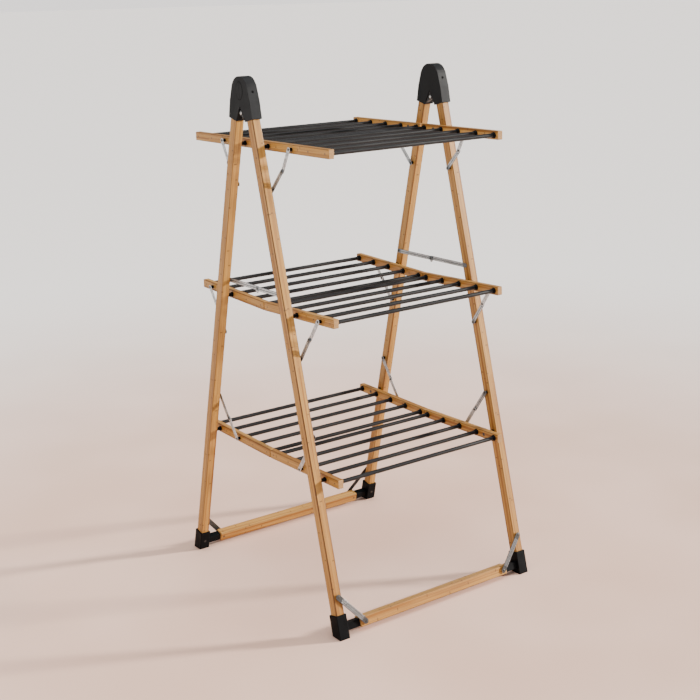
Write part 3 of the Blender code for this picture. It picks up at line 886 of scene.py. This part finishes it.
# ------------------------------------------------------------------ stays and spreaders
def build_link(name, body, start, end, side, layer, pin, skin_mat):
    """Pressed steel link along local X, origin on its pin.

    layer: inner and outer X of the link.  pin: X span of the stand-off.
    """
    dy, dz = end[0] - start[0], end[1] - start[1]
    length = sqrt(dy * dy + dz * dz)
    lean = atan2(dz, dy)
    # local X along the link, local Y across it, local Z along world X
    axes = Matrix(((0, 0, side, 0), (cos(lean), -sin(lean), 0, 0),
                   (sin(lean), cos(lean), 0, 0), (0, 0, 0, 1)))
    place = Matrix.Translation((0, start[0], start[1])) @ axes

    low, high = layer
    bm = bmesh.new()
    middle, half_sheet = (low + high) / 2, 0.00055
    prism_into(bm, capsule((0, 0), (length, 0), LINK_W / 2), middle - half_sheet,
               middle + half_sheet, flat)
    strap = bevelled(to_object(bm, name + "_strap", [skin_mat]), 0.00035, 2)
    strap.matrix_world = place
    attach(strap, body)
    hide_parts(name)
    bm = bmesh.new()
    for across in (-LINK_RIB_Y, LINK_RIB_Y):
        rib = capsule((LINK_FLAT, across), (length - LINK_FLAT, across), RIB_R, 6)
        prism_into(bm, rib, low, high, flat)
    ribs = bevelled(to_object(bm, name + "_ribs", [STEEL]), 0.0004, 2)
    ribs.matrix_world = place
    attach(ribs, body)
    # stand-off, black, turned
    bm = bmesh.new()
    near, far = pin
    r, ease = STANDOFF_R, 0.0004
    profile = [(near, 0.0), (near, r - ease), (near + ease, r), (far - ease, r),
               (far, r - ease), (far, 0.0)]
    revolve_into(bm, profile, (0.0, 0.0), make=flat)
    stand = to_object(bm, name + "_standoff", [BLACK])
    stand.data.set_sharp_from_angle(angle=radians(50))
    stand.matrix_world = place
    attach(stand, body)
    return place, length


def heads(name, body, place, spots):
    """Domed heads: spots are (x along the link, z of the face, out, radius, rise)."""
    bm = bmesh.new()
    for x, z, out, r, rise in spots:
        revolve_into(bm, rounded_head(z, out, r, rise), (x, 0.0), make=flat)
    obj = to_object(bm, name, [DARK])
    obj.data.set_sharp_from_angle(angle=radians(50))
    obj.matrix_world = place
    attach(obj, body)


def build_stays(shelf, depth):
    """The two folding stays of a shelf half, two links each."""
    name, z, lean, below = shelf
    half = DEPTH_NAME[depth]
    py, pz = leg_point(leg_s(z), depth)
    outward = depth * below
    ry, rz = turned((outward * STAY_ON_RAIL, 0.0), depth * lean)
    rail_pin = (py + ry, pz + rz)
    leg_pin = leg_point(leg_s(z) + below * STAY_ON_LEG, depth)
    joint = knee(rail_pin, leg_pin, (py, pz))
    rail_body = f"{name}_{half}_rail_links"
    leg_body = f"{name}_{half}_leg_links"
    for side in (LEFT, RIGHT):
        hand = SIDE_NAME[side]
        link = f"{name}_{half}_{hand}_rail_link"
        layer = (RAIL_LINK_X, RAIL_LINK_X + LINK_T)
        place, length = build_link(link, rail_body, rail_pin, joint, side, layer,
                                   (RAIL_OUT_X + GAP, RAIL_LINK_X + INTO), STEEL)
        heads(link + "_heads", rail_body, place,
              ((0.0, layer[1], 1, HEAD_R, 0.0004), (length, layer[0], -1, KNEE_R, 0.0014)))
        link = f"{name}_{half}_{hand}_leg_link"
        layer = (LEG_LINK_X, LEG_LINK_X + LINK_T)
        # the leg link's strap is the darker zinc: painted shade
        place, length = build_link(link, leg_body, leg_pin, joint, side, layer,
                                   (layer[1] - INTO, LEG_IN_X - GAP), SHADED_STEEL)
        heads(link + "_heads", leg_body, place,
              ((0.0, layer[0], -1, HEAD_R, 0.0004), (length, layer[1], 1, KNEE_R, 0.0016)))


def build_spreaders():
    """Folding links that stop the legs, just above the middle shelf."""
    for depth, x0 in zip((FRONT, BACK), SPREADER_X):
        pin = leg_point(leg_s(SPREADER_Z), depth)
        body = f"{DEPTH_NAME[depth]}_spreader"
        for side in (LEFT, RIGHT):
            name = f"{SIDE_NAME[side]}_{DEPTH_NAME[depth]}_spreader"
            layer = (x0, x0 + SPREADER_T)
            if depth == FRONT:
                build_tab(name, side, layer)
            # the spreader's strap is the darker zinc: painted shade
            place, length = build_link(name, body, pin, (0.0, pin[1]), side, layer,
                                       (layer[1] - INTO, LEG_IN_X - GAP), SHADED_STEEL)
            out = 1 if depth == FRONT else -1
            face = layer[1] if out > 0 else layer[0]
            spots = [(length, face, out, KNEE_R, 0.0006)]
            if depth == BACK:
                spots.append((0.0, layer[0], -1, HEAD_R, 0.0012))
            heads(name + "_heads", body, place, spots)


def build_tab(name, side, layer):
    """Small thumb tab that hangs below the middle rivet."""
    low = SPREADER_Z - 0.0125
    tab = [(-0.0085, SPREADER_Z - 0.0050), (-0.0030, low + 0.0012), (-0.0012, low),
           (0.0012, low), (0.0030, low + 0.0012), (0.0085, SPREADER_Z - 0.0050)]
    bm = bmesh.new()
    prism_into(bm, tab, side * layer[0], side * layer[1], along_x)
    obj = bevelled(to_object(bm, name + "_tab", [STEEL]), 0.0003, 2)
    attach(obj, "front_spreader")


# ------------------------------------------------------------------ stage, light, camera
def build_stage():
    """Pale floor that reaches the horizon, and a backdrop of the same tone."""
    bm = bmesh.new()
    revolve_into(bm, [(0.0, r) for r in (0.0, 2.0, 6.0, 20.0, 80.0, 350.0)], (0, 0), 48, flat)
    s = Shader("floor_pale", (0.86, 0.66, 0.56), 0.6, Specular_IOR_Level=0.2)
    place = s.node("ShaderNodeTexCoord")
    reach = s.node("ShaderNodeVectorMath", operation="LENGTH")
    s.link(place.outputs["Object"], reach.inputs[0])
    patch = s.noise(s.coords(), 1.6, 2.0)
    near = s.mix(s.ramp(patch, 0.3, 0.75), (0.74, 0.48, 0.37), (0.82, 0.56, 0.45))
    far = s.ramp(reach.outputs["Value"], 0.6, 4.2)
    s.base(s.mix(far, near, (0.96, 0.92, 0.89)))
    floor = to_object(bm, "floor", [s.mat])
    floor.location.z = -0.0002

    world = bpy.context.scene.world or bpy.data.worlds.new("World")
    bpy.context.scene.world = world
    world.use_nodes = True
    nodes, links = world.node_tree.nodes, world.node_tree.links
    back = nodes["Background"]
    back.inputs["Color"].default_value = (0.95, 0.97, 1.0, 1.0)
    back.inputs["Strength"].default_value = 0.32
    wall = nodes.new("ShaderNodeBackground")
    wall.inputs["Color"].default_value = (0.93, 0.885, 0.86, 1.0)
    wall.inputs["Strength"].default_value = 1.64
    path = nodes.new("ShaderNodeLightPath")
    both = nodes.new("ShaderNodeMixShader")
    links.new(path.outputs["Is Camera Ray"], both.inputs["Fac"])
    links.new(back.outputs["Background"], both.inputs[1])
    links.new(wall.outputs["Background"], both.inputs[2])
    links.new(both.outputs["Shader"], nodes["World Output"].inputs["Surface"])


def area(name, at, target, size, power, colour):
    """Rectangular lamp that faces its target."""
    data = bpy.data.lights.new(name, "AREA")
    data.shape = "RECTANGLE"
    data.size, data.size_y = size
    data.energy = power
    data.color = colour
    obj = bpy.data.objects.new(name, data)
    obj.location = at
    aim = Vector(target) - Vector(at)
    obj.rotation_euler = aim.to_track_quat("-Z", "Y").to_euler()
    bpy.context.scene.collection.objects.link(obj)


def sun(name, toward, power, angle, colour):
    """Parallel light that comes from the direction `toward`."""
    data = bpy.data.lights.new(name, "SUN")
    data.energy = power
    data.angle = radians(angle)
    data.color = colour
    obj = bpy.data.objects.new(name, data)
    obj.rotation_euler = (-Vector(toward)).to_track_quat("-Z", "Y").to_euler()
    bpy.context.scene.collection.objects.link(obj)


def build_lights():
    """A low soft key from the right, and weak fills from the left and above."""
    sun("key", (0.883, -0.403, 0.255), 9.6, 6.0, (1.0, 0.955, 0.90))
    sun("sky", (0.10, -0.10, 1.0), 2.7, 60.0, (1.0, 0.985, 0.97))
    area("front", (1.6, -4.6, 2.0), (0, 0, 0.6), (1.6, 1.6), 8.0, (1.0, 0.97, 0.94))
    area("fill", (-4.0, -0.7, 1.9), (0, 0, 0.7), (2.6, 2.6), 62.0, (1.0, 0.96, 0.92))


# angles in degrees, lens in millimetres on a 36 mm sensor
CAMERA = {"at": (-2.0239, -2.8191, 1.5881), "yaw": -35.176, "pitch": -13.370,
          "roll": -1.624, "lens": 66.322286, "shift": (0.0167143, -0.0671429)}


def build_camera():
    """The main view: from the front left, a little above the rack."""
    data = bpy.data.cameras.new("camera")
    cam = bpy.data.objects.new("camera", data)
    bpy.context.scene.collection.objects.link(cam)
    data.sensor_width = 36.0
    data.lens = CAMERA["lens"]
    data.shift_x, data.shift_y = CAMERA["shift"]
    yaw, pitch, roll = (radians(CAMERA[k]) for k in ("yaw", "pitch", "roll"))
    forward = Vector((-sin(yaw) * cos(pitch), cos(yaw) * cos(pitch), sin(pitch)))
    level = forward.cross(Vector((0, 0, 1))).normalized()
    above = level.cross(forward)
    right = level * cos(roll) + above * sin(roll)
    up = -level * sin(roll) + above * cos(roll)
    rows = zip(right, up, -forward, CAMERA["at"])
    cam.matrix_world = Matrix((*rows, (0, 0, 0, 1)))
    data.clip_start, data.clip_end = 0.05, 900.0
    bpy.context.scene.camera = cam


build_camera()
build_legs()
build_bars()
build_feet()
build_caps()
build_shelves()
build_spreaders()
build_stage()
build_lights()
